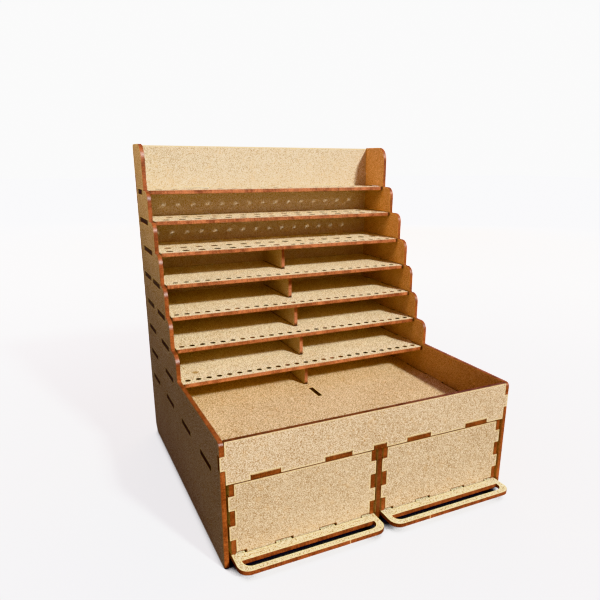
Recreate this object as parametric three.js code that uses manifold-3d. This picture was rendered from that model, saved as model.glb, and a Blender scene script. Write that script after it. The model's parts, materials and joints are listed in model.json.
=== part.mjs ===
// Stepped rack organizer cut from sheet board, with a front tray and two drawers.
// Millimetres, +Z up, the open front faces -Y. Origin at the centre of the footprint.
import * as THREE from 'three';
import { mergeVertices } from 'three/addons/utils/BufferGeometryUtils.js';
import Module from 'manifold-3d';

const wasm = await Module();
wasm.setup();

// ---- overall size -------------------------------------------------------
const SHEET = 4.8;             // board thickness of every piece
const WIDTH = 355;             // over the two side panels
const DEPTH = 345;             // side panel, front edge to rear edge
const HEIGHT = 408;            // side panel, floor to top
const LIP = 29;                // drawer lip, measured forward of the front edges
const FRONT = LIP - (DEPTH + LIP) / 2;   // y of the side panel front edges

const ARC_STEPS = 8;           // facets of a rounded corner
const HOLE_STEPS = 12;         // facets of a round hole

// ---- fits ---------------------------------------------------------------
const FIT = 0.3;               // gap between pieces that touch
const SLOT_FIT = 0.5;          // slot wall to tab, across the sheet
const SLOT_END = 1.2;          // slot wall to tab, along the tab
const SHELF_END = 1.0;         // shelf end to side panel

// ---- shelves ------------------------------------------------------------
const SHELF_PITCH = 36;        // height between neighbouring shelves
const LOWEST_SHELF_TOP = 136;  // top face of shelf 7
// front: depth of the front edge; tabs: [centre depth, length] of the end tabs;
// rows: [setback from the front edge, first x, count, pitch, hole diameter]
const SMALL_HOLE = 6.6;
const LARGE_HOLE = 9.2;
const SHELVES = [
  { front: 288.5, tabs: [[313.5, 24]], rows: [[24, -153.75, 16, 20.5, LARGE_HOLE]] },
  {
    front: 266.5,
    tabs: [[303.5, 52]],
    rows: [[14, -153.75, 16, 20.5, LARGE_HOLE], [44, -143.5, 15, 20.5, LARGE_HOLE]],
  },
  {
    front: 242.5,
    tabs: [[290, 52]],
    rows: [
      [12, -157.5, 8, 20.5, LARGE_HOLE],
      [9, 9, 12, 13.7, SMALL_HOLE],
      [40, -153.75, 16, 20.5, LARGE_HOLE],
    ],
  },
  { front: 223.5, tabs: [[250.5, 40], [306, 40]], rows: [[10.5, -157.55, 24, 13.7, SMALL_HOLE]] },
  { front: 206, tabs: [[235, 40], [299.5, 40]], rows: [[10.5, -162.5, 26, 13, SMALL_HOLE]] },
  { front: 190, tabs: [[223.5, 40], [301.5, 40]], rows: [[9.5, -162.5, 26, 13, SMALL_HOLE]] },
  { front: 166.5, tabs: [[211.5, 40], [302, 40]], rows: [[10.5, -162.5, 26, 13, SMALL_HOLE]] },
];

// ---- side panel outline -------------------------------------------------
const LOBE_RADIUS = 12;        // rounded front corner of each step
const CREST_RADIUS = 18;       // rounded front corner at the very top
const REAR_TOP_RADIUS = 5;
const REAR_FOOT_RADIUS = 16;
const FRONT_FOOT_RADIUS = 3;
const TRAY_RADIUS = 5;         // front corner of the low tray side
const BACK_HEIGHT = 407;
const BACK_SEGMENTS = 11;      // finger joint on the rear edge, every other one is a finger
const BACK_SEGMENT = BACK_HEIGHT / BACK_SEGMENTS;

// ---- tray and apron -----------------------------------------------------
const APRON_BOTTOM = 94;
const APRON_TOP = 140;
const APRON_FINGER = [109.5, 125];       // height range of the finger at each end
const APRON_NOTCH_RELIEF = 1;            // side panel notch deeper than the apron
const TRAY_NOTCH_RELIEF = 0.6;           // apron notch taller than the tray floor tab
const TRAY_BOTTOM = APRON_BOTTOM;
const TRAY_TOP = TRAY_BOTTOM + SHEET;
const TRAY_SIDE_TABS = [[52.5, 38], [135, 38], [218, 38], [302, 38]];
const TRAY_FRONT_TABS = [[-131.5, 31], [-50.5, 31], [0, 15.5], [50.5, 31], [131.5, 31]];
const REAR_TABS = [[-100, 40], [100, 40]];    // shelf and tray tabs through the back panel
const DIVIDER_FRONTS = [266.5, 242.5, 223.5, 206, 190];
const PARTITION_TABS = [[161, 29], [270, 29]];
const TAB_RECESS = 0.8;        // partition tab tops sit just below the tray floor face

// ---- base and drawers ---------------------------------------------------
const BASE_TOP = 8;
const BASE_FRONT = 9;
const DRAWER_BOTTOM = 8.8;     // underside of the drawer bottom
const DRAWER_TOP = 92.5;
const DRAWER_OUTER_GAP = 2;    // tips of the front's fingers to the side panel
const DRAWER_INNER_GAP = 1.3;  // tips of the front's fingers to the partition
const DRAWER_REAR = 332;
const DRAWER_FACE = 1;         // depth of the drawer face behind the side panel front edges
const BAY = (WIDTH - 3 * SHEET) / 2;
const DRAWER_WIDTH = BAY - DRAWER_OUTER_GAP - DRAWER_INNER_GAP;
const DRAWER_CENTER = SHEET / 2 + DRAWER_INNER_GAP + DRAWER_WIDTH / 2;
const WALL_RECESS = 1.3;       // drawer wall behind the tips of the fingers
const BOTTOM_RECESS = 0.8;     // drawer bottom behind the tips of the fingers
const FRONT_FOOT_GAP = 1.5;    // drawer front above the drawer bottom, between its tabs
const DRAWER_SEGMENT = 16.65;  // finger height at the drawer corners
const DRAWER_FRONT_TABS = [[-51, 32], [0, 32], [51, 32]];
const LIP_RADIUS = 12;
const GRIP_REAR = -11;         // rear edge of the grip slot
const GRIP_RIM = 7;            // material left around the front of the grip slot
const GRIP_RADIUS = 9;

const HALF = WIDTH / 2;
const INNER = HALF - SHEET;

// ---- outline helpers ----------------------------------------------------
// Points of a closed outline through [x, y, radius] corners; a radius rounds a square corner.
function cornerPoints(corners) {
  const count = corners.length;
  const points = [];
  corners.forEach(([x, y, radius = 0], i) => {
    const corner = new THREE.Vector2(x, y);
    if (radius === 0) {
      points.push(corner);
      return;
    }
    const [beforeX, beforeY] = corners[(i + count - 1) % count];
    const [afterX, afterY] = corners[(i + 1) % count];
    const back = new THREE.Vector2(beforeX, beforeY).sub(corner).setLength(radius);
    const ahead = new THREE.Vector2(afterX, afterY).sub(corner).setLength(radius);
    const center = corner.clone().add(back).add(ahead);
    for (let k = 0; k <= ARC_STEPS; k += 1) {
      const turn = (k / ARC_STEPS) * (Math.PI / 2);
      points.push(
        center.clone().addScaledVector(ahead, -Math.cos(turn)).addScaledVector(back, -Math.sin(turn)),
      );
    }
  });
  return points;
}

const outline = (corners) => new THREE.Shape(cornerPoints(corners));
const rectangle = (x0, y0, x1, y1) => outline([[x0, y0], [x1, y0], [x1, y1], [x0, y1]]);

function roundHole(x, y, diameter) {
  const points = [];
  for (let k = 0; k < HOLE_STEPS; k += 1) {
    const turn = (k / HOLE_STEPS) * Math.PI * 2;
    points.push([x + (Math.cos(turn) * diameter) / 2, y + (Math.sin(turn) * diameter) / 2]);
  }
  return outline(points);
}

// Slot for a tab of the given centre and length, in a sheet that lies between low and high.
function alongSlot(center, length, low, high, gap = SLOT_FIT) {
  const reach = length / 2 + SLOT_END;
  return rectangle(center - reach, low - gap, center + reach, high + gap);
}

// ---- sheet helpers ------------------------------------------------------
const root = new THREE.Group();
root.name = 'rack_organizer';

function extrusion(shape, depth) {
  return new THREE.ExtrudeGeometry(shape, { depth, bevelEnabled: false });
}

function toSolid(geometry) {
  geometry.deleteAttribute('normal');
  geometry.deleteAttribute('uv');
  const merged = mergeVertices(geometry);
  return new wasm.Manifold(new wasm.Mesh({
    numProp: 3,
    vertProperties: merged.attributes.position.array,
    triVerts: merged.index.array,
  }));
}

// Board of the outline with every opening cut through it.
function cutSheet(shape, openings) {
  let solid = toSolid(extrusion(shape, SHEET));
  for (const opening of openings) {
    const cutter = extrusion(opening, SHEET + 2);
    cutter.translate(0, 0, -1);
    solid = solid.subtract(toSolid(cutter));
  }
  const { vertProperties, triVerts } = solid.getMesh();
  const geometry = new THREE.BufferGeometry();
  geometry.setAttribute('position', new THREE.BufferAttribute(vertProperties, 3));
  geometry.setIndex(new THREE.BufferAttribute(triVerts, 1));
  return geometry;
}

function sheet(name, shape, openings, color) {
  const geometry = cutSheet(shape, openings);
  const mesh = new THREE.Mesh(geometry, new THREE.MeshStandardMaterial({ color, roughness: 0.8 }));
  mesh.name = name;
  root.add(mesh);
  return mesh;
}

// Outline drawn in x and depth, sheet lying flat with its underside at z.
function flatSheet(name, shape, z, color, openings = []) {
  const mesh = sheet(name, shape, openings, color);
  mesh.position.set(0, FRONT, z);
  return mesh;
}

// Outline drawn in depth and height, sheet standing with its left face at x.
function sideSheet(name, shape, x, color, openings = []) {
  const mesh = sheet(name, shape, openings, color);
  mesh.rotation.set(Math.PI / 2, Math.PI / 2, 0);
  mesh.position.set(x, FRONT, 0);
  return mesh;
}

// Outline drawn in x and height, sheet standing across with its front face at a depth.
function crossSheet(name, shape, depth, color, openings = []) {
  const mesh = sheet(name, shape, openings, color);
  mesh.rotation.set(Math.PI / 2, 0, 0);
  mesh.position.set(0, FRONT + depth + SHEET, 0);
  return mesh;
}

const shelfTop = (index) => LOWEST_SHELF_TOP + (SHELVES.length - 1 - index) * SHELF_PITCH;

// ---- side panels --------------------------------------------------------
function sidePanelShape() {
  const notchDepth = SHEET + APRON_NOTCH_RELIEF;
  const corners = [
    [0, 0, FRONT_FOOT_RADIUS],
    [DEPTH, 0, REAR_FOOT_RADIUS],
  ];
  for (let k = 1; k < BACK_SEGMENTS; k += 2) {
    const low = k * BACK_SEGMENT - FIT;
    const high = (k + 1) * BACK_SEGMENT + FIT;
    const inner = DEPTH - SHEET - FIT;
    corners.push([DEPTH, low], [inner, low], [inner, high], [DEPTH, high]);
  }
  corners.push([DEPTH, HEIGHT, REAR_TOP_RADIUS]);
  SHELVES.forEach((shelf, k) => {
    const top = k === 0 ? HEIGHT : shelfTop(k - 1);
    const foot = k === SHELVES.length - 1 ? APRON_TOP : shelfTop(k);
    corners.push([shelf.front, top, k === 0 ? CREST_RADIUS : LOBE_RADIUS]);
    corners.push([shelf.front, foot]);
  });
  corners.push(
    [0, APRON_TOP, TRAY_RADIUS],
    [0, APRON_FINGER[1] + FIT],
    [notchDepth, APRON_FINGER[1] + FIT],
    [notchDepth, APRON_FINGER[0] - FIT],
    [0, APRON_FINGER[0] - FIT],
  );
  return outline(corners);
}

const sideSlots = TRAY_SIDE_TABS.map(([center, length]) => alongSlot(center, length, TRAY_BOTTOM, TRAY_TOP));
SHELVES.forEach((shelf, k) => {
  for (const [center, length] of shelf.tabs) {
    sideSlots.push(alongSlot(center, length, shelfTop(k) - SHEET, shelfTop(k)));
  }
});
sideSheet('left_side_panel', sidePanelShape(), -HALF, '#a98254', sideSlots);
sideSheet('right_side_panel', sidePanelShape(), INNER, '#a98254', sideSlots);

// ---- back panel ---------------------------------------------------------
function backPanelShape() {
  const right = [];
  const edge = INNER - FIT;
  for (let k = 0; k < BACK_SEGMENTS; k += 1) {
    const reach = k % 2 === 1 ? HALF : edge;
    right.push([reach, k * BACK_SEGMENT], [reach, (k + 1) * BACK_SEGMENT]);
  }
  const left = right.map(([x, z]) => [-x, z]).reverse();
  return outline([...right, ...left]);
}

const rearSlots = [];
for (const low of [TRAY_BOTTOM, ...SHELVES.map((shelf, k) => shelfTop(k) - SHEET)]) {
  for (const [center, length] of REAR_TABS) {
    rearSlots.push(alongSlot(center, length, low, low + SHEET, FIT));
  }
}
crossSheet('back_panel', backPanelShape(), DEPTH - SHEET, '#c49a67', rearSlots);

// ---- horizontal sheets with end tabs and rear tabs ----------------------
// Right-hand edge from front to rear, with tabs reaching the outer face.
function tabbedEdge(front, rear, tabs, edge) {
  const points = [[edge, front]];
  for (const [center, length] of tabs) {
    const low = center - length / 2;
    const high = center + length / 2;
    points.push([edge, low], [HALF, low], [HALF, high], [edge, high]);
  }
  points.push([edge, rear]);
  return points;
}

function shelfCorners(front, tabs) {
  const rear = DEPTH - SHEET - FIT;
  const right = tabbedEdge(front, rear, tabs, INNER - SHELF_END);
  const back = [];
  for (const [center, length] of [...REAR_TABS].reverse()) {
    const high = center + length / 2;
    const low = center - length / 2;
    back.push([high, rear], [high, DEPTH], [low, DEPTH], [low, rear]);
  }
  const left = right.map(([x, y]) => [-x, y]).reverse();
  return [...right, ...back, ...left];
}

SHELVES.forEach((shelf, k) => {
  const holes = [];
  for (const [setback, first, count, pitch, diameter] of shelf.rows) {
    for (let i = 0; i < count; i += 1) {
      holes.push(roundHole(first + i * pitch, shelf.front + setback, diameter));
    }
  }
  const shape = outline(shelfCorners(shelf.front, shelf.tabs));
  flatSheet(`shelf_${k + 1}`, shape, shelfTop(k) - SHEET, '#dcc096', holes);
});

// ---- tray floor ---------------------------------------------------------
const trayFront = SHEET + FIT;
const trayCorners = shelfCorners(trayFront, TRAY_SIDE_TABS);
for (const [center, length] of TRAY_FRONT_TABS) {
  const low = center - length / 2;
  const high = center + length / 2;
  trayCorners.push([low, trayFront], [low, 0], [high, 0], [high, trayFront]);
}
const traySlots = PARTITION_TABS.map(([center, length]) => {
  const reach = length / 2 + FIT;
  return rectangle(-SHEET / 2 - FIT, center - reach, SHEET / 2 + FIT, center + reach);
});
flatSheet('tray_floor', outline(trayCorners), TRAY_BOTTOM, '#dcc096', traySlots);

// ---- apron --------------------------------------------------------------
const apronEdge = INNER - FIT;
const apronRight = [
  [apronEdge, APRON_BOTTOM],
  [apronEdge, APRON_FINGER[0]],
  [HALF, APRON_FINGER[0]],
  [HALF, APRON_FINGER[1]],
  [apronEdge, APRON_FINGER[1]],
  [apronEdge, APRON_TOP],
];
const apronCorners = [...apronRight, ...apronRight.map(([x, z]) => [-x, z]).reverse()];
for (const [center, length] of TRAY_FRONT_TABS) {
  const low = center - length / 2 - FIT;
  const high = center + length / 2 + FIT;
  const top = TRAY_TOP + TRAY_NOTCH_RELIEF;
  apronCorners.push([low, APRON_BOTTOM], [low, top], [high, top], [high, APRON_BOTTOM]);
}
crossSheet('front_apron', outline(apronCorners), 0, '#e0c49a');

// ---- centre partition and base ------------------------------------------
const partitionRear = DEPTH - SHEET - FIT;
const partitionCorners = [
  [0, 0],
  [BASE_FRONT - FIT, 0],
  [BASE_FRONT - FIT, BASE_TOP + FIT],
  [partitionRear, BASE_TOP + FIT],
  [partitionRear, TRAY_BOTTOM - FIT],
];
for (const [center, length] of [...PARTITION_TABS].reverse()) {
  const top = TRAY_TOP - TAB_RECESS;
  const high = center + length / 2;
  const low = center - length / 2;
  partitionCorners.push([high, TRAY_BOTTOM - FIT], [high, top], [low, top], [low, TRAY_BOTTOM - FIT]);
}
partitionCorners.push([0, TRAY_BOTTOM - FIT]);
sideSheet('center_partition', outline(partitionCorners), -SHEET / 2, '#c49a67');

const baseEdge = INNER - FIT;
const baseShape = outline([
  [-baseEdge, BASE_FRONT],
  [baseEdge, BASE_FRONT],
  [baseEdge, partitionRear],
  [-baseEdge, partitionRear],
]);
flatSheet('base_panel', baseShape, BASE_TOP - SHEET, '#c49a67');

// ---- middle dividers between the deeper shelves -------------------------
DIVIDER_FRONTS.forEach((front, k) => {
  const above = shelfTop(k + 2);
  const floor = k === DIVIDER_FRONTS.length - 1 ? TRAY_TOP : shelfTop(k + 3);
  const low = floor + FIT;
  const high = above - SHEET - FIT;
  const shape = outline([[front, low], [partitionRear, low], [partitionRear, high], [front, high]]);
  sideSheet(`divider_${k + 1}`, shape, -SHEET / 2, '#c49a67');
});

// ---- drawers ------------------------------------------------------------
const floorTop = DRAWER_BOTTOM + SHEET;
const fingerHeights = [0, 1, 2, 3, 4].map((k) => floorTop + k * DRAWER_SEGMENT);
fingerHeights.push(DRAWER_TOP);

// Edge that climbs the finger joint, at `outer` on its fingers and at `inner` between them.
// The fingers are segments 2 and 4 where `odd` is true, and segments 1, 3 and 5 where it isn't.
// The lowest segment starts at the height `foot`.
function fingerLadder(outer, inner, odd, foot = floorTop + FIT) {
  const points = [];
  for (let k = 0; k < 5; k += 1) {
    const isFinger = k % 2 === (odd ? 1 : 0);
    const shrink = isFinger ? FIT / 2 : -FIT / 2;
    const low = k === 0 ? foot : fingerHeights[k] + shrink;
    const high = k === 4 ? DRAWER_TOP : fingerHeights[k + 1] - shrink;
    const reach = isFinger ? outer : inner;
    points.push([reach, low], [reach, high]);
  }
  return points;
}

function drawerEndShape(center, foot, tabs) {
  const half = DRAWER_WIDTH / 2;
  const right = fingerLadder(half, half - WALL_RECESS - SHEET - FIT, true, foot);
  const left = right.map(([x, z]) => [-x, z]).reverse();
  const corners = [...right, ...left];
  for (const [tab, length] of tabs) {
    corners.push([tab - length / 2, foot], [tab - length / 2, DRAWER_BOTTOM]);
    corners.push([tab + length / 2, DRAWER_BOTTOM], [tab + length / 2, foot]);
  }
  return outline(corners.map(([x, z]) => [x + center, z]));
}

function drawerWallShape() {
  const rear = fingerLadder(DRAWER_REAR, DRAWER_REAR - SHEET - FIT, false);
  const front = fingerLadder(DRAWER_FACE, DRAWER_FACE + SHEET + FIT, false).reverse();
  return outline([...rear, ...front]);
}

function drawerBottomShape(center) {
  const half = DRAWER_WIDTH / 2 - BOTTOM_RECESS;
  return outline([
    [center - half, -LIP, LIP_RADIUS],
    [center + half, -LIP, LIP_RADIUS],
    [center + half, DRAWER_REAR],
    [center - half, DRAWER_REAR],
  ]);
}

// Grip slot in the lip, then one slot for each tab of the drawer front.
function drawerBottomOpenings(center) {
  const half = DRAWER_WIDTH / 2 - BOTTOM_RECESS - GRIP_RIM;
  const grip = outline([
    [center - half, GRIP_RIM - LIP, GRIP_RADIUS],
    [center + half, GRIP_RIM - LIP, GRIP_RADIUS],
    [center + half, GRIP_REAR],
    [center - half, GRIP_REAR],
  ]);
  const slots = DRAWER_FRONT_TABS.map(([tab, length]) => {
    const left = center + tab - length / 2 - SLOT_END;
    const right = center + tab + length / 2 + FIT;
    return rectangle(left, DRAWER_FACE - SLOT_END, right, DRAWER_FACE + SHEET + FIT);
  });
  return [grip, ...slots];
}

for (const [side, sign] of [['left', -1], ['right', 1]]) {
  const center = sign * DRAWER_CENTER;
  const wallReach = DRAWER_WIDTH / 2 - WALL_RECESS;
  const name = (piece) => `${side}_drawer_${piece}`;
  const openings = drawerBottomOpenings(center);
  const frontShape = drawerEndShape(center, floorTop + FRONT_FOOT_GAP, DRAWER_FRONT_TABS);
  const backShape = drawerEndShape(center, floorTop + FIT, []);
  flatSheet(name('bottom'), drawerBottomShape(center), DRAWER_BOTTOM, '#dcc096', openings);
  crossSheet(name('front'), frontShape, DRAWER_FACE, '#e0c49a');
  crossSheet(name('back'), backShape, DRAWER_REAR - SHEET, '#c49a67');
  sideSheet(name('left_wall'), drawerWallShape(), center - wallReach, '#c49a67');
  sideSheet(name('right_wall'), drawerWallShape(), center + wallReach - SHEET, '#c49a67');
}

export default root;
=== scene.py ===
"""Laser-cut fibreboard tool rack.

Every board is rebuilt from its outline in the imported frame, with smooth cuts and burnt edges.
"""
import json
import math
import random

import bpy
import numpy as np
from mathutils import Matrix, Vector, noise
from mathutils.geometry import delaunay_2d_cdt


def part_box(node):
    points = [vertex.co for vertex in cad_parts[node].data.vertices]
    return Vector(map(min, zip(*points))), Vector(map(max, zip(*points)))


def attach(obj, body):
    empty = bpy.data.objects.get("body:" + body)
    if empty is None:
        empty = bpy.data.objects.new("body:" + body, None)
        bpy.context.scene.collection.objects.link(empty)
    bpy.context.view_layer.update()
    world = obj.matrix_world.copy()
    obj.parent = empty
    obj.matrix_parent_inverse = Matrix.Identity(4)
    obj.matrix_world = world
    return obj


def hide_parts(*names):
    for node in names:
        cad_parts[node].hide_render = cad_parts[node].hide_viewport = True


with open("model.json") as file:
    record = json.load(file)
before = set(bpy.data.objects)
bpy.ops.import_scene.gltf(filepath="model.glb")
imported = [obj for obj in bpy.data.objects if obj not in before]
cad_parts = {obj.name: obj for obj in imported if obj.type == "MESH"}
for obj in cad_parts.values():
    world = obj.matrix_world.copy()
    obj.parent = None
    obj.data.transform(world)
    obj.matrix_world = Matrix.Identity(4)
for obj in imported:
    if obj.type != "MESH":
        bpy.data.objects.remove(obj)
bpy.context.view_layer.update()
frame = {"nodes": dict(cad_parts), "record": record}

MM = 0.001

# ---- outlines ------------------------------------------------------------
SAME_POINT = 0.01 * MM            # vertices closer than this are one point
STRAIGHT = 0.01                   # sine of the smallest turn that counts as a corner
STEP = 6 * MM                     # longest piece of an outline
FACET = 4 * MM                    # facets of the CAD arcs are shorter than this
FACET_TURN = math.radians(13)     # and turn by less than this
HOLE_LIMIT = 8 * MM               # largest radius taken for a round tool hole
HOLE_FACETS = 10                  # fewest facets of a round hole
HOLE_SPREAD = 0.05                # how far its radius may vary, as a share
HOLE_POINTS = 36
FILL_TOLERANCE = 1e-6             # of the triangulation, in millimetres

# ---- board edges ---------------------------------------------------------
CHAMFER = 0.2 * MM
# (distance from the cut, value of the "cut" attribute): 2 on the burnt wall, 0 on the clean face
RINGS = [(0.0, 2.0), (CHAMFER, 1.0), (0.6 * MM, 0.75), (1.4 * MM, 0.35), (2.4 * MM, 0.0)]
SHARP_ANGLE = math.radians(25)
MARK_EDGES = (-0.7 * MM, -0.25 * MM, 0.25 * MM, 0.7 * MM)     # outline points round a bridge mark
MARK_REACH = 0.5 * MM             # outline points this close to a mark are unburnt
MARK_OFF = 0.1 * MM               # a mark this close to an outline belongs to it

# ---- burn and painted shade on the cuts: the attribute runs from 0 to 2 ---
SMALL_OPENING = 50 * MM           # shorter openings are darkened inside, partly burn and partly painted shade in the hole
SMALL_OPENING_SMOKE_AND_SHADE = 1.6                 # mean darkness in them: burn and painted shade
SMOKE = 0.45                      # mean smoke on all other cuts
SMOKE_SWING = 0.7                 # slow change along a cut
SMOKE_SCALE = 30                  # of that change, per metre
SMOKE_SHIFT = 50                  # every board draws its own start up to this
PIERCE_SMOKE = 1.4                # extra smoke where the laser starts
PIERCE_REACH = 2.6 * MM           # how far it spreads along the cut
SMOKE_LIMIT = 1.85                # the most smoke on a cut outside the scorched, shaded joints
# value at the joints: burn with painted shade where the boards meet
SCORCHED_AND_SHADED = 2.0
END_REACH = 171.2 * MM            # lying boards end beyond this, against the side panels
TAB_HEIGHT = 94.5 * MM            # the partition's tabs rise above this
FOOT_HEIGHT = 15.5 * MM           # the foot of a drawer front lies below this
FOOT_EDGE = 1 * MM                # height of a divider's foot, burnt and darkened as painted contact shade


# ---- outlines from the frame ---------------------------------------------
def board_axes(node):
    """(axis across the board, first in-plane axis, second in-plane axis), right-handed."""
    low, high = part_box(node)
    size = high - low
    across = min(range(3), key=lambda i: size[i])
    return across, (across + 1) % 3, (across + 2) % 3


def face_loops(node):
    """Closed outlines of the board's upper face: in-plane points with material on their left."""
    mesh = frame["nodes"][node].data
    across, u, v = board_axes(node)
    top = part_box(node)[1][across]

    def key(index):
        return tuple(round(c / SAME_POINT) for c in mesh.vertices[index].co)

    directed = set()
    places = {}
    for polygon in mesh.polygons:
        corners = list(polygon.vertices)
        if any(abs(mesh.vertices[i].co[across] - top) > SAME_POINT for i in corners):
            continue
        keys = [key(i) for i in corners]
        for i, k in zip(corners, keys):
            places[k] = (mesh.vertices[i].co[u], mesh.vertices[i].co[v])
        directed.update(zip(keys, keys[1:] + keys[:1]))
    following = {a: b for a, b in directed if (b, a) not in directed}
    loops = []
    while following:
        start, here = following.popitem()
        chain = [start]
        while here != start:
            chain.append(here)
            here = following.pop(here)
        loops.append(np.array([places[k] for k in chain]))
    return loops


def signed_area(points):
    after = np.roll(points, -1, axis=0)
    return 0.5 * float(np.sum(points[:, 0] * after[:, 1] - points[:, 1] * after[:, 0]))


def without_straight_points(points):
    before = points - np.roll(points, 1, axis=0)
    after = np.roll(points, -1, axis=0) - points
    turn = before[:, 0] * after[:, 1] - before[:, 1] * after[:, 0]
    lengths = np.linalg.norm(before, axis=1) * np.linalg.norm(after, axis=1)
    return points[np.abs(turn) > STRAIGHT * lengths]


def round_hole(points):
    """A smooth circle in place of a faceted tool hole, or None where the loop isn't one."""
    centre = points.mean(axis=0)
    radii = np.linalg.norm(points - centre, axis=1)
    uneven = np.ptp(radii) > HOLE_SPREAD * radii.mean()
    if len(points) < HOLE_FACETS or radii.max() > HOLE_LIMIT or uneven:
        return None
    turns = -np.arange(HOLE_POINTS) / HOLE_POINTS * 2 * math.pi
    return centre + radii.mean() * np.stack([np.cos(turns), np.sin(turns)], axis=1)


def finer_arcs(points):
    """Splits every facet of a rounded corner in two, with the new point on the arc."""
    count = len(points)
    edges = np.roll(points, -1, axis=0) - points
    headings = np.arctan2(edges[:, 1], edges[:, 0])
    turns = (headings - np.roll(headings, 1) + math.pi) % (2 * math.pi) - math.pi
    soft = np.abs(turns) < FACET_TURN
    made = []
    for i in range(count):
        made.append(points[i])
        j = (i + 1) % count
        length = np.linalg.norm(edges[i])
        if soft[i] and soft[j] and length < FACET:
            bend = max(turns[i], turns[j], key=abs)
            rise = length / 2 * math.tan(bend / 4)
            outward = np.array([edges[i][1], -edges[i][0]]) / length
            made.append((points[i] + points[j]) / 2 + outward * rise)
    return np.array(made)


def resampled(points, marks=()):
    """Adds points along the straight stretches, and four round each mark for a narrow stripe."""
    made = []
    for a, b in zip(points, np.roll(points, -1, axis=0)):
        length = float(np.linalg.norm(b - a))
        count = max(1, int(length // STEP))
        shares = [i / count for i in range(count)]
        for mark in marks:
            along = float(np.dot(mark - a, b - a)) / length
            off = float(np.linalg.norm(a + (b - a) * along / length - mark))
            if off < MARK_OFF and STEP < along < length - STEP:
                shares += [(along + edge) / length for edge in MARK_EDGES]
        made += [a + (b - a) * s for s in sorted(shares)]
    return np.array(made)


def inset(points, distance):
    """Moves a closed outline into the material on its left by the same distance everywhere."""
    edges = np.roll(points, -1, axis=0) - points
    edges /= np.linalg.norm(edges, axis=1)[:, None]
    normals = np.stack([-edges[:, 1], edges[:, 0]], axis=1)
    before = np.roll(normals, 1, axis=0)
    lengthening = 1 + np.sum(normals * before, axis=1)
    return points + distance * (normals + before) / lengthening[:, None]


def inside(points, loops):
    """Which points lie on material, by the even-odd rule over all the loops."""
    crossings = np.zeros(len(points), int)
    for loop in loops:
        a, b = loop, np.roll(loop, -1, axis=0)
        spans = (a[None, :, 1] > points[:, None, 1]) != (b[None, :, 1] > points[:, None, 1])
        rise = np.where(b[:, 1] == a[:, 1], 1.0, b[:, 1] - a[:, 1])
        slope = (b[:, 0] - a[:, 0]) / rise
        at = a[None, :, 0] + slope[None, :] * (points[:, None, 1] - a[None, :, 1])
        crossings += np.sum(spans & (points[:, None, 0] < at), axis=1)
    return crossings % 2 == 1


def filled(loops):
    """Triangles over the material between the loops, as indices into the loops laid end to end."""
    points = np.concatenate(loops) / MM
    edges = []
    first = 0
    for loop in loops:
        count = len(loop)
        edges += [(first + i, first + (i + 1) % count) for i in range(count)]
        first += count
    places = [Vector(p) for p in points]
    found, _, faces, origins, _, _ = delaunay_2d_cdt(places, edges, [], 0, FILL_TOLERANCE, True)
    triangles = np.array([list(f) for f in faces])
    corners = np.array([tuple(p) for p in found])
    centres = corners[triangles].mean(axis=1)
    kept = triangles[inside(centres, [loop / MM for loop in loops])]
    source = [o[0] for o in origins]
    return [[source[i] for i in triangle] for triangle in kept]


# ---- a board -------------------------------------------------------------
def scorched_and_shaded(node, points):
    """Which points of a cut are darkest: burnt, with painted shade where they meet other boards.

    They are the partition's tabs, the ends of lying boards and the feet of dividers and drawer fronts.
    """
    across, u, v = board_axes(node)
    if across == 2:
        return np.abs(points[:, 0]) > END_REACH
    heights = points[:, (u, v).index(2)]
    if node == "center_partition":
        return heights > TAB_HEIGHT
    if node.endswith("drawer_front"):
        return heights < FOOT_HEIGHT
    if node.startswith("divider"):
        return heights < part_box(node)[0].z + FOOT_EDGE
    return np.zeros(len(points), bool)


def smoke_and_shade_along(node, loop, hole):
    """How dark each point of a cut is: smoke with slow changes along it and one dark laser start, plus
    painted shade inside small openings and at the joints.
    """
    shift = random.Random(node).uniform(0, SMOKE_SHIFT)
    small = hole and np.ptp(loop, axis=0).max() < SMALL_OPENING
    # small openings get burn and painted shade inside them
    mean = SMALL_OPENING_SMOKE_AND_SHADE if small else SMOKE
    spots = [Vector((x * SMOKE_SCALE + shift, y * SMOKE_SCALE, shift)) for x, y in loop]
    values = np.array([mean + SMOKE_SWING * noise.noise(spot) for spot in spots])
    reach = loop[:, 0] + loop[:, 1]
    start = loop[int(np.argmin(reach) if hole else np.argmax(reach))]
    away = np.linalg.norm(loop - start, axis=1)
    values += PIERCE_SMOKE * np.clip(1 - away / PIERCE_REACH, 0, 1)
    values = np.clip(values, 0, SMOKE_LIMIT)
    # joint points: burn and painted shade
    values[scorched_and_shaded(node, loop)] = SCORCHED_AND_SHADED
    return values


def unburnt_along(loop, marks):
    """1 for the outline points inside a bridge mark, 0 for the others."""
    return [float(any(np.linalg.norm(p - mark) < MARK_REACH for mark in marks)) for p in loop]


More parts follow.
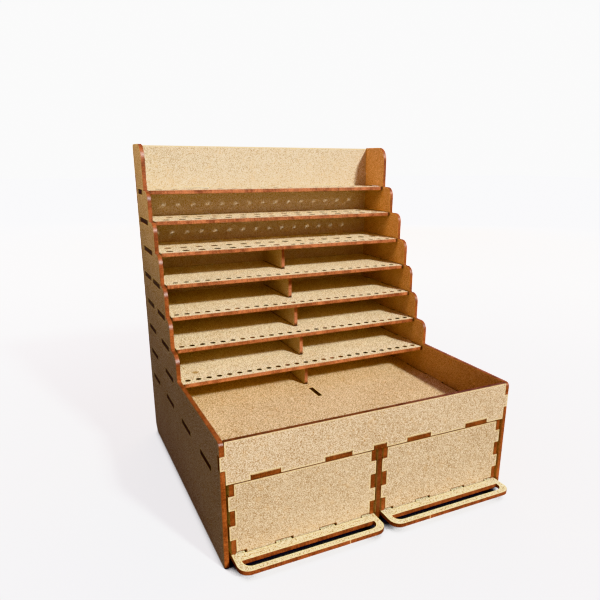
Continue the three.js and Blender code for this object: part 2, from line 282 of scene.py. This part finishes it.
def board_mesh(node, marks=()):
    """The node's board: round holes, smooth corners, chamfered cuts and attributes for its finish."""
    across, u, v = board_axes(node)
    low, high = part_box(node)
    loops = []
    for loop in face_loops(node):
        loop = without_straight_points(loop)
        circle = round_hole(loop)
        loops.append(circle if circle is not None else resampled(finer_arcs(loop), marks))
    coordinates, faces, cut, smoke_and_shade, pale = [], [], [], [], []
    inner = {1: [], -1: []}

    def add_ring(points, height, value, smoke_and_shade_values, pales):
        first = len(coordinates)
        for point, s, p in zip(points, smoke_and_shade_values, pales):
            place = [0.0, 0.0, 0.0]
            place[across], place[u], place[v] = height, float(point[0]), float(point[1])
            coordinates.append(place)
            cut.append(value)
            smoke_and_shade.append(float(s))
            pale.append(p)
        return list(range(first, len(coordinates)))

    def add_band(outer, other, side):
        count = len(outer)
        for i in range(count):
            j = (i + 1) % count
            quad = [outer[i], outer[j], other[j], other[i]]
            faces.append(quad if side > 0 else quad[::-1])

    for loop in loops:
        smoke_and_shade_values = smoke_and_shade_along(node, loop, signed_area(loop) < 0)
        pales = unburnt_along(loop, marks)
        walls = {}
        for side, face in ((1, high[across]), (-1, low[across])):
            before = None
            for distance, value in RINGS:
                height = face - side * CHAMFER if distance == 0 else face
                ring = add_ring(inset(loop, distance), height, value, smoke_and_shade_values, pales)
                if before is None:
                    walls[side] = ring
                else:
                    add_band(before, ring, side)
                before = ring
            inner[side] += before
        add_band(walls[-1], walls[1], 1)
    for triangle in filled([inset(loop, RINGS[-1][0]) for loop in loops]):
        faces.append([inner[1][i] for i in triangle])
        faces.append([inner[-1][i] for i in reversed(triangle)])

    mesh = bpy.data.meshes.new(f"{node}_board")
    mesh.from_pydata(coordinates, [], faces)
    for name, values in (("cut", cut), ("smoke_and_shade", smoke_and_shade), ("pale", pale)):
        mesh.attributes.new(name, "FLOAT", "POINT").data.foreach_set("value", values)
    mesh.shade_smooth()
    mesh.set_sharp_from_angle(angle=SHARP_ANGLE)
    return mesh


# ---- fibreboard ----------------------------------------------------------
def linear(red, green, blue):
    """Screen colour (sRGB) from 0 to 255 as the linear colour that shaders use."""
    channels = [c / 255 for c in (red, green, blue)]
    light = [c / 12.92 if c <= 0.04045 else ((c + 0.055) / 1.055) ** 2.4 for c in channels]
    return (*light, 1.0)


FACE_LIGHT = linear(224, 202, 172)
FACE_DARK = linear(148, 110, 62)
OCHRE = linear(188, 142, 84)
FIBRE = linear(128, 88, 52)
HALO = linear(232, 206, 152)
SINGE = linear(104, 58, 34)
WALL_LIGHT = linear(190, 120, 82)
WALL_DARK = linear(118, 64, 42)
BARE = linear(222, 182, 130)
# burnt black, also used as painted shade at the joints and in small openings
SCORCH_AND_SHADE = linear(46, 22, 12)

# red, green and blue factors on the faces' colours, by the axis across the board, then by board:
# partly the boards' own tones, partly painted light, with lying boards painted lighter as if lit from
# above and some boards tinted to the light and shade that fall on them
PAINTED_LIGHT_BY_AXIS = ((1, 1, 1), (1, 1, 1), (1.42, 1.57, 1.7))
BOARD_TONES_AND_PAINTED_LIGHT = {
    "back_panel": (1.02, 1.14, 1.28),
    "front_apron": (0.97, 1.0, 1.04),
    "left_drawer_bottom": (1.36, 1.58, 1.58),
    "left_drawer_front": (0.94, 0.97, 0.99),
    "right_drawer_bottom": (1.36, 1.6, 1.64),
    "right_drawer_front": (0.93, 0.96, 0.99),
    "left_side_panel": (1.0, 1.16, 1.12),
    "right_side_panel": (1.05, 0.83, 0.66),
    "tray_floor": (1.26, 1.22, 1.12),
}

# the same for the burnt walls of the cuts, by the axis across the board, then by kind of board; the
# darker walls of the drawer fronts and the apron also paint the shade on their top edges
AXIS_CUTS = ((0.74, 0.6, 0.45), (0.85, 0.85, 0.85), (0.92, 0.87, 0.8))
BOARD_CUTS_AND_PAINTED_SHADE = {
    "center_partition": (0.4, 0.3, 0.26),
    "divider": (0.85, 0.85, 0.9),
    "drawer_bottom": (0.65, 0.5, 0.42),
    "drawer_front": (0.5, 0.44, 0.34),
    "drawer_left_wall": (0.56, 0.42, 0.3),
    "drawer_right_wall": (0.56, 0.42, 0.3),
    "front_apron": (0.44, 0.36, 0.28),
    "tray_floor": (0.46, 0.36, 0.26),
}

# scales of the patterns, per metre
CLOUD_SCALE = 14
PATCH_SCALE = 130
GRAIN_SCALE = 1350
FINE_SCALE = 2200
FIBRE_SCALE = 620
SPECK_SCALE = 150.0
STREAK_SCALE = 900
BAND_SCALE = 75

LYING_GRAIN = 1.5                 # grain size of lying boards; 1 is the finest
BOARD_GRAINS = {"front_apron": 1.08, "right_drawer_front": 1.2}
GRAIN_SHIFT = 20                  # every board draws its own start up to this
GRAIN_TURN = (0.6, 0.4, 0.9)      # turns the noise away from the planes of the boards
FIBRE_STRETCH = (1, 2.6, 1)
STREAK_SQUEEZE = 0.12             # streaks on a wall run across the board
GRAIN_BLEND = 0.1                 # half the width of the blend between dark and light grain
SOFT_BLEND = 0.14                 # the same on the back panel, which looks smoother
SPECK_SHARE = 0.86                # cells drawn above this hold a speck
WALL_FROM, WALL_TO = 1.0, 1.35    # the "cut" values between which a face turns into a wall
SOOT_AND_SHADE_FROM = 1.88                  # the value above which the joints darken: burn with painted shade
BUMP_DEPTH = 0.00025

STAINED_BOARD = "shelf_7"         # a round ochre stain lies on it
STAIN_CENTRE = (-0.1473, 0.0427, 0.136)
STAIN_REACH = 5 * MM


def toned(tone, *colours):
    """Each colour multiplied by the tone's red, green and blue factors."""
    return [tuple(t * c for t, c in zip(tone, colour)) + (1.0,) for colour in colours]


def kind_of(node):
    """The node's name without its side and number."""
    return node.removeprefix("left_").removeprefix("right_").rstrip("_12345")


class Graph:
    """Short calls for building a material's nodes."""

    def __init__(self, material):
        material.use_nodes = True
        self.nodes = material.node_tree.nodes
        self.links = material.node_tree.links
        self.shader = self.nodes["Principled BSDF"]

    def node(self, kind, inputs=None, **settings):
        made = self.nodes.new(kind)
        for name, value in settings.items():
            setattr(made, name, value)
        for socket, value in (inputs or {}).items():
            if isinstance(value, bpy.types.NodeSocket):
                self.links.new(value, made.inputs[socket])
            else:
                made.inputs[socket].default_value = value
        return made

    def math(self, operation, a, b):
        return self.node("ShaderNodeMath", {0: a, 1: b}, operation=operation).outputs[0]

    def ramp(self, value, low, high, to_low=0.0, to_high=1.0):
        """A smooth step from to_low to to_high while the value goes from low to high."""
        inputs = {"Value": value, 1: low, 2: high, 3: to_low, 4: to_high}
        return self.node("ShaderNodeMapRange", inputs, interpolation_type="SMOOTHSTEP").outputs[0]

    def mix(self, share, a, b):
        inputs = {0: share, 6: a, 7: b}
        return self.node("ShaderNodeMix", inputs, data_type="RGBA").outputs[2]

    def noise(self, vector, scale, detail, roughness=0.5):
        inputs = {"Vector": vector, "Scale": scale, "Detail": detail, "Roughness": roughness}
        return self.node("ShaderNodeTexNoise", inputs).outputs["Fac"]

    def weighted(self, *parts):
        """Sum of (value, weight) pairs."""
        total = 0.0
        for value, weight in parts:
            inputs = {0: value, 1: weight, 2: total}
            total = self.node("ShaderNodeMath", inputs, operation="MULTIPLY_ADD").outputs[0]
        return total

    def attribute(self, name):
        return self.node("ShaderNodeAttribute", attribute_name=name).outputs["Fac"]

    def mapped(self, vector, **inputs):
        return self.node("ShaderNodeMapping", {"Vector": vector, **inputs}).outputs[0]

    def into(self, socket, value):
        """Sends a node's output into a socket of the shader."""
        self.links.new(value, self.shader.inputs[socket])


def fibreboard(node):
    """Raw fibreboard with specks and fibres on its faces and laser burn on its cuts, with painted
    light in its tones and painted shade at its joints and in its small openings.
    """
    across = board_axes(node)[0]
    lying = across == 2
    # painted light: lying boards lighter, some boards tinted to their light and shade
    face_tone_and_light = BOARD_TONES_AND_PAINTED_LIGHT.get(node, PAINTED_LIGHT_BY_AXIS[across])
    light, dark, halo, ochre = toned(face_tone_and_light, FACE_LIGHT, FACE_DARK, HALO, OCHRE)
    # burn tones, with painted shade on the walls of drawer fronts and apron
    cut_tone_and_shade = BOARD_CUTS_AND_PAINTED_SHADE.get(kind_of(node), AXIS_CUTS[across])
    wall_light, wall_dark = toned(cut_tone_and_shade, WALL_LIGHT, WALL_DARK)
    graph = Graph(material := bpy.data.materials.new(f"fibreboard_{node}"))
    origin = graph.node("ShaderNodeTexCoord").outputs["Object"]
    shift = random.Random(node).uniform(0, GRAIN_SHIFT)
    offset = (shift, shift / 2, shift / 3)
    place = graph.node("ShaderNodeVectorMath", {0: origin, 1: offset}).outputs[0]
    cut = graph.attribute("cut")
    smoke_and_shade = graph.attribute("smoke_and_shade")

    # grain and ochre patches
    turned = graph.mapped(place, Rotation=GRAIN_TURN)
    clouds = graph.noise(turned, CLOUD_SCALE, 2)
    patches = graph.noise(turned, PATCH_SCALE, 3, 0.6)
    coarse = LYING_GRAIN if lying else BOARD_GRAINS.get(node, 1.0)
    grain = graph.noise(turned, GRAIN_SCALE / coarse, 0)
    fine = graph.noise(turned, FINE_SCALE / coarse, 0)
    pattern = graph.weighted((clouds, 0.05), (patches, 0.06), (grain, 0.5), (fine, 0.39))
    blend = SOFT_BLEND if node == "back_panel" else GRAIN_BLEND
    face = graph.mix(graph.ramp(pattern, 0.5 - blend, 0.5 + blend), dark, light)
    face = graph.mix(graph.ramp(patches, 0.52, 0.75, 0, 0.3), face, ochre)

    # fibres, dark specks and the stain
    stretched = graph.mapped(place, Rotation=GRAIN_TURN, Scale=FIBRE_STRETCH)
    fibres = graph.noise(stretched, FIBRE_SCALE, 1, 0.6)
    face = graph.mix(graph.ramp(fibres, 0.62, 0.74, 0, 0.4), face, FIBRE)
    cells = graph.node("ShaderNodeTexVoronoi", {"Vector": place, "Scale": SPECK_SCALE})
    lottery = graph.node("ShaderNodeSeparateColor", {0: cells.outputs["Color"]}).outputs[0]
    near = graph.ramp(cells.outputs["Distance"], 0.14, 0.05)
    speck = graph.math("MULTIPLY", near, graph.math("GREATER_THAN", lottery, SPECK_SHARE))
    face = graph.mix(graph.math("MULTIPLY", speck, 0.5), face, SCORCH_AND_SHADE)
    if node == STAINED_BOARD:
        inputs = {0: origin, 1: STAIN_CENTRE}
        away = graph.node("ShaderNodeVectorMath", inputs, operation="DISTANCE").outputs["Value"]
        face = graph.mix(graph.ramp(away, 0.6 * STAIN_REACH, STAIN_REACH, 0.9, 0), face, dark)

    # pale rim and singed line beside a cut, widened at the joints as painted shade
    face = graph.mix(graph.ramp(cut, 0.1, 0.75, 0, 0.6), face, halo)
    soot_and_shade = graph.ramp(smoke_and_shade, SOOT_AND_SHADE_FROM, SCORCHED_AND_SHADED)
    spread = graph.math("ADD", cut, graph.math("MULTIPLY", soot_and_shade, 0.45))
    strength = graph.ramp(smoke_and_shade, 0.2, 1.2, 0.45, 0.95)
    singe = graph.math("MULTIPLY", graph.ramp(spread, 0.8, 1.0), strength)
    face = graph.mix(singe, face, SINGE)
    if lying:
        # painted shade along the joints where lying boards meet the side panels
        painted_seam_shade = graph.math("MULTIPLY", soot_and_shade, graph.ramp(cut, 0.4, 0.7))
        face = graph.mix(painted_seam_shade, face, SCORCH_AND_SHADE)

    # the burnt wall of a cut, darkened further as painted shade inside small openings and at the
    # joints
    squeeze = [1.0, 1.0, 1.0]
    squeeze[across] = STREAK_SQUEEZE
    streaks = graph.noise(graph.mapped(place, Scale=tuple(squeeze)), STREAK_SCALE, 2, 0.6)
    bands = graph.noise(place, BAND_SCALE, 3, 0.6)
    char = graph.weighted((streaks, 0.3), (bands, 0.4), (grain, 0.3))
    wall = graph.mix(graph.ramp(char, 0.38, 0.62), wall_dark, wall_light)
    # burn, and painted shade inside small openings and at the joints
    wall = graph.mix(graph.ramp(smoke_and_shade, 0.9, 1.8), wall, SCORCH_AND_SHADE)
    wall = graph.mix(graph.attribute("pale"), wall, BARE)
    graph.into("Base Color", graph.mix(graph.ramp(cut, WALL_FROM, WALL_TO), face, wall))

    # walls are smoother and glossier than faces
    rough = graph.ramp(grain, 0.3, 0.7, 0.72, 0.9)
    rough = graph.math("MULTIPLY", rough, graph.ramp(cut, WALL_FROM, WALL_TO, 1.0, 0.5))
    graph.into("Roughness", rough)
    graph.into("Specular IOR Level", graph.ramp(cut, WALL_FROM, WALL_TO, 0.25, 0.5))
    grooves = graph.math("MULTIPLY", streaks, graph.ramp(cut, 1.0, 1.5))
    height = graph.math("ADD", grain, grooves)
    bump = graph.node("ShaderNodeBump", {"Height": height, "Strength": 0.4, "Distance": BUMP_DEPTH})
    graph.into("Normal", bump.outputs[0])
    return material


# ---- the boards ----------------------------------------------------------
# from the middle of a drawer lip to the stripe where the board was held in its sheet
BRIDGE_OFFSETS = {"left_drawer_bottom": 36.5 * MM, "right_drawer_bottom": -36.3 * MM}


def bridge_marks(node):
    """Unburnt stripes on the front edge of the node's board."""
    if node not in BRIDGE_OFFSETS:
        return []
    low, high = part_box(node)
    return [np.array(((low.x + high.x) / 2 + BRIDGE_OFFSETS[node], low.y))]


bodies = frame["record"]["behaviour"]["bodies"]
body_of = {node: body for body, members in bodies.items() for node in members}
for node, body in body_of.items():
    board = bpy.data.objects.new(f"{node}_board", board_mesh(node, bridge_marks(node)))
    bpy.context.scene.collection.objects.link(board)
    board.data.materials.append(fibreboard(node))
    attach(board, body)
    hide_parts(node)


# ---- floor, light and camera ---------------------------------------------
FLOOR_REACH = 12.0
FLOOR_PALE = (0.4, 0.39, 0.4, 1)          # to the camera
FLOOR_CONTACT_SHADOW = (0.02, 0.02, 0.03, 1)     # painted contact shadow, to the camera, where the object shuts the light out
FLOOR_BOUNCE = (0.16, 0.13, 0.1, 1)       # to light that bounces
CONTACT_REACH = 0.02
OPEN_FROM, OPEN_TO = 0.3, 0.68            # ambient occlusion between contact and open floor
GLOW_NEAR, GLOW_FAR = 0.25, 1.6           # metres from the middle, while it fades to white
NEAR_GLOW, FAR_GLOW = 0.8, 1.7            # emission there
WORLD_LIGHT = (0.32, 0.27, 0.36, 1)
WORLD_WHITE = (2, 2, 2, 1)                # to the camera


def seen(graph):
    """1 for what the camera sees directly, 0 for light that bounces."""
    return graph.node("ShaderNodeLightPath").outputs["Is Camera Ray"]


def pale_floor():
    """Plain floor: it looks pale, fades to white far away, shows a painted contact shadow under the
    object and throws little light at the object.
    """
    mesh = bpy.data.meshes.new("floor")
    corners = [(x * FLOOR_REACH, y * FLOOR_REACH, 0) for x, y in ((-1, -1), (1, -1), (1, 1), (-1, 1))]
    mesh.from_pydata(corners, [], [(0, 1, 2, 3)])
    floor = bpy.data.objects.new("floor", mesh)
    bpy.context.scene.collection.objects.link(floor)
    graph = Graph(material := bpy.data.materials.new("floor"))
    contact = graph.node("ShaderNodeAmbientOcclusion", {"Distance": CONTACT_REACH}).outputs["AO"]
    open_air = graph.ramp(contact, OPEN_FROM, OPEN_TO)
    pale = graph.mix(open_air, FLOOR_CONTACT_SHADOW, FLOOR_PALE)
    graph.into("Base Color", graph.mix(seen(graph), FLOOR_BOUNCE, pale))
    graph.shader.inputs["Roughness"].default_value = 1.0
    graph.shader.inputs["Specular IOR Level"].default_value = 0.0
    place = graph.node("ShaderNodeTexCoord").outputs["Object"]
    away = graph.node("ShaderNodeVectorMath", {0: place}, operation="LENGTH").outputs["Value"]
    glow = graph.ramp(away, GLOW_NEAR, GLOW_FAR, NEAR_GLOW, FAR_GLOW)
    glow = graph.math("MULTIPLY", glow, seen(graph))
    graph.into("Emission Strength", graph.math("MULTIPLY", glow, open_air))
    graph.shader.inputs["Emission Color"].default_value = (1, 1, 1, 1)
    mesh.materials.append(material)


def place_light(name, light, location, travel, glints=False):
    """Adds a light that shines along travel; only one with glints shows in glossy cuts."""
    lamp = bpy.data.objects.new(name, light)
    lamp.location = location
    lamp.rotation_euler = Vector(travel).to_track_quat("-Z", "Y").to_euler()
    lamp.visible_glossy = glints
    bpy.context.scene.collection.objects.link(lamp)


def sun(name, travel, strength, softness, colour):
    """A sun whose disc is `softness` degrees wide."""
    light = bpy.data.lights.new(name, "SUN")
    light.energy = strength
    light.angle = math.radians(softness)
    light.color = colour
    place_light(name, light, (0, 0, 2), travel, glints=True)


def softbox(name, location, aim, width, watts, colour):
    light = bpy.data.lights.new(name, "AREA")
    light.energy = watts
    light.size = width
    light.color = colour
    place_light(name, light, location, Vector(aim) - Vector(location))


def spot(name, location, aim, cone, radius, watts, colour):
    """A lamp with a soft cone `cone` degrees wide."""
    light = bpy.data.lights.new(name, "SPOT")
    light.energy = watts
    light.spot_size = math.radians(cone)
    light.spot_blend = 1.0
    light.shadow_soft_size = radius
    light.color = colour
    place_light(name, light, location, Vector(aim) - Vector(location))


def studio_world():
    """White to the camera, low and warm as light."""
    world = bpy.data.worlds.new("studio")
    bpy.context.scene.world = world
    world.use_nodes = True
    tree = world.node_tree
    background = tree.nodes["Background"]
    path = tree.nodes.new("ShaderNodeLightPath").outputs["Is Camera Ray"]
    mix = tree.nodes.new("ShaderNodeMix")
    mix.data_type = "RGBA"
    tree.links.new(path, mix.inputs[0])
    mix.inputs[6].default_value = WORLD_LIGHT
    mix.inputs[7].default_value = WORLD_WHITE
    tree.links.new(mix.outputs[2], background.inputs["Color"])


pale_floor()
studio_world()
sun("key", travel=(-0.306, 0.782, -0.541), strength=4.75, softness=6, colour=(0.92, 1.0, 0.96))
spot(
    "side_lamp", location=(-1.1, 0.0, 0.55), aim=(0.05, 0.1, 0.46),
    cone=34, radius=0.12, watts=30, colour=(1.0, 0.66, 0.32),
)
softbox(
    "warm_card", location=(-0.35, -1.5, 0.45), aim=(0, 0, 0.2),
    width=1.0, watts=2.7, colour=(1.0, 0.43, 0.22),
)
softbox(
    "back_fill", location=(1.2, 2.2, 1.2), aim=(0, 0.1, 0.2),
    width=2.0, watts=60, colour=(1.0, 0.9, 0.75),
)
bpy.context.scene.view_settings.view_transform = "Khronos PBR Neutral"

camera_data = bpy.data.cameras.new("camera")
camera_data.lens = 34.29
camera_data.sensor_width = 36
camera_data.shift_x = -0.031
camera_data.shift_y = 0.0632
camera = bpy.data.objects.new("camera", camera_data)
bpy.context.scene.collection.objects.link(camera)
camera.location = (-0.3043, -0.6238, 0.3909)
camera.rotation_euler = [math.radians(a) for a in (72.63, -0.37, -26.08)]
bpy.context.scene.camera = camera
